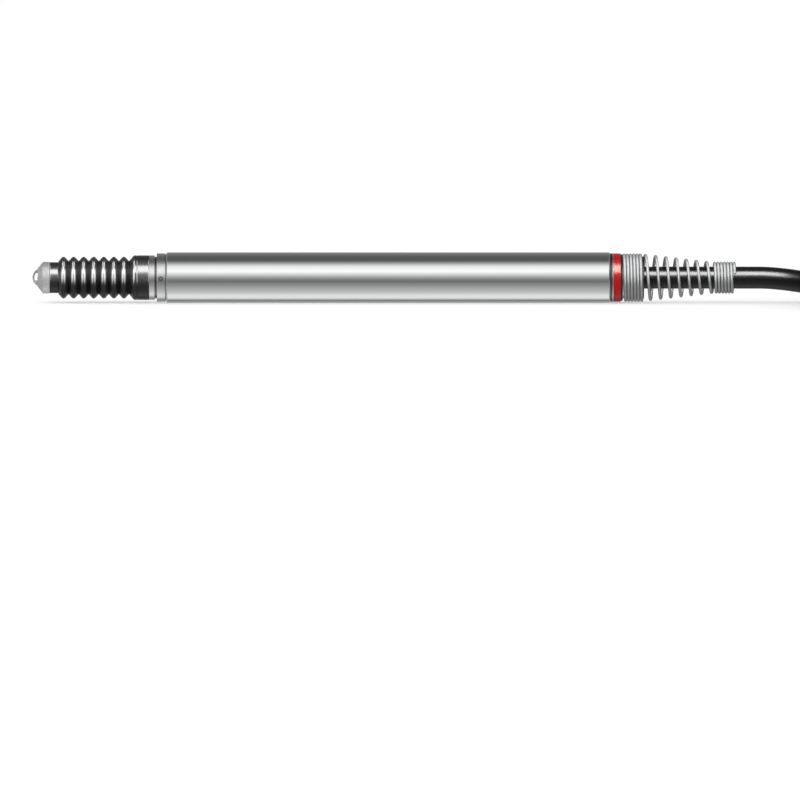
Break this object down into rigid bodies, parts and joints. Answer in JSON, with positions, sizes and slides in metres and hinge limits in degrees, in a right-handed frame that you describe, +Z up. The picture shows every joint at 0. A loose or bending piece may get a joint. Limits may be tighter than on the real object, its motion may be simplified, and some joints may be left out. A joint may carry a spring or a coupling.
{
  "type": "linear gauge probe",
  "caption": "Pencil-type linear gauge probe with a round clamping shank, a spring-loaded ball-tipped plunger in rubber bellows and a straight cable outlet with a spring strain relief.",
  "frame": {"origin": "on the probe's axis, at the front end of the clamping shank's cylindrical wall", "axes": "+X along the probe's axis towards the cable, -X towards the contact ball, +Z up; the bench on which the probe and its cable lie is 4 mm below the axis"},
  "size_m": [0.2801, 0.0316, 0.0177],
  "materials": {
    "casing_steel": "centreless ground and polished stainless steel",
    "bush_steel": "turned stainless steel",
    "cap_steel": "turned steel, dark finish",
    "point_steel": "fine satin steel",
    "polished_ball": "polished hard metal ball",
    "bellows_rubber": "moulded black rubber, glossy",
    "inner_steel": "hardened and ground steel",
    "spring_steel": "drawn stainless spring wire",
    "cage_brass": "turned brass",
    "ferrite": "fired ferrite",
    "bobbin_plastic": "moulded plastic",
    "winding_copper": "enamelled copper wire, varnished",
    "shield_metal": "annealed soft magnetic sheet",
    "board_laminate": "glass fibre laminate",
    "red_plastic": "red moulded plastic, glossy",
    "black_rubber": "black rubber",
    "cable_sheath": "black extruded sheath, glossy",
    "core_insulation": "thin extruded insulation",
    "tie_strap": "woven hook-and-loop strap",
    "connector_metal": "nickel-plated brass, satin",
    "insert_plastic": "moulded black plastic",
    "pin_brass": "gold-plated brass"
  },
  "bodies": {
    "housing": {"casing_tube": "casing_steel", "front_bush": "bush_steel", "bellows": "bellows_rubber", "guide_bush": "inner_steel", "return_spring": "spring_steel", "spring_seat": "inner_steel", "spacer_sleeve": "inner_steel", "coil_bobbin": "bobbin_plastic", "secondary_winding_front": "winding_copper", "primary_winding": "winding_copper", "secondary_winding_rear": "winding_copper", "shield_sleeve": "shield_metal", "terminal_board": "board_laminate", "rear_cap": "cap_steel", "cap_seal": "black_rubber", "marking_ring": "red_plastic", "rear_washer": "black_rubber", "strain_relief_spring": "spring_steel", "cable_grommet": "black_rubber", "cable_cores": "core_insulation", "cable": "cable_sheath", "cable_hank": "cable_sheath", "cable_tail": "cable_sheath", "hank_tie": "tie_strap", "connector_boot": "black_rubber", "connector_shell": "connector_metal", "connector_insert": "insert_plastic", "connector_pins": "pin_brass"},
    "plunger": {"contact_ball": "polished_ball", "contact_point": "point_steel", "plunger_shaft": "inner_steel", "guide_pin": "inner_steel", "spring_collar": "inner_steel", "core_rod": "inner_steel", "ferrite_core": "ferrite", "core_nut": "inner_steel"},
    "cage": {"ball_cage": "cage_brass", "guide_balls": "polished_ball"},
    "ring": {"coupling_ring": "connector_metal"}
  },
  "joints": [
    {"name": "plunger_slide", "type": "slide", "parent": "housing", "child": "plunger", "axis": [1, 0, 0], "range_m": [0, 0.0055], "stiffness_N_per_m": 85, "springref_m": -0.006, "deforming": ["bellows", "return_spring"]},
    {"name": "cage_slide", "type": "slide", "parent": "housing", "child": "cage", "axis": [1, 0, 0], "range_m": [0, 0.00275]},
    {"name": "ring_turn", "type": "hinge", "parent": "housing", "child": "ring", "pos_m": [0.248, -0.0021, 0.002], "axis": [1, 0, 0], "continuous": true}
  ],
  "couplings": [
    {"joint": "cage_slide", "follows": "plunger_slide", "ratio": 0.5}
  ]
}
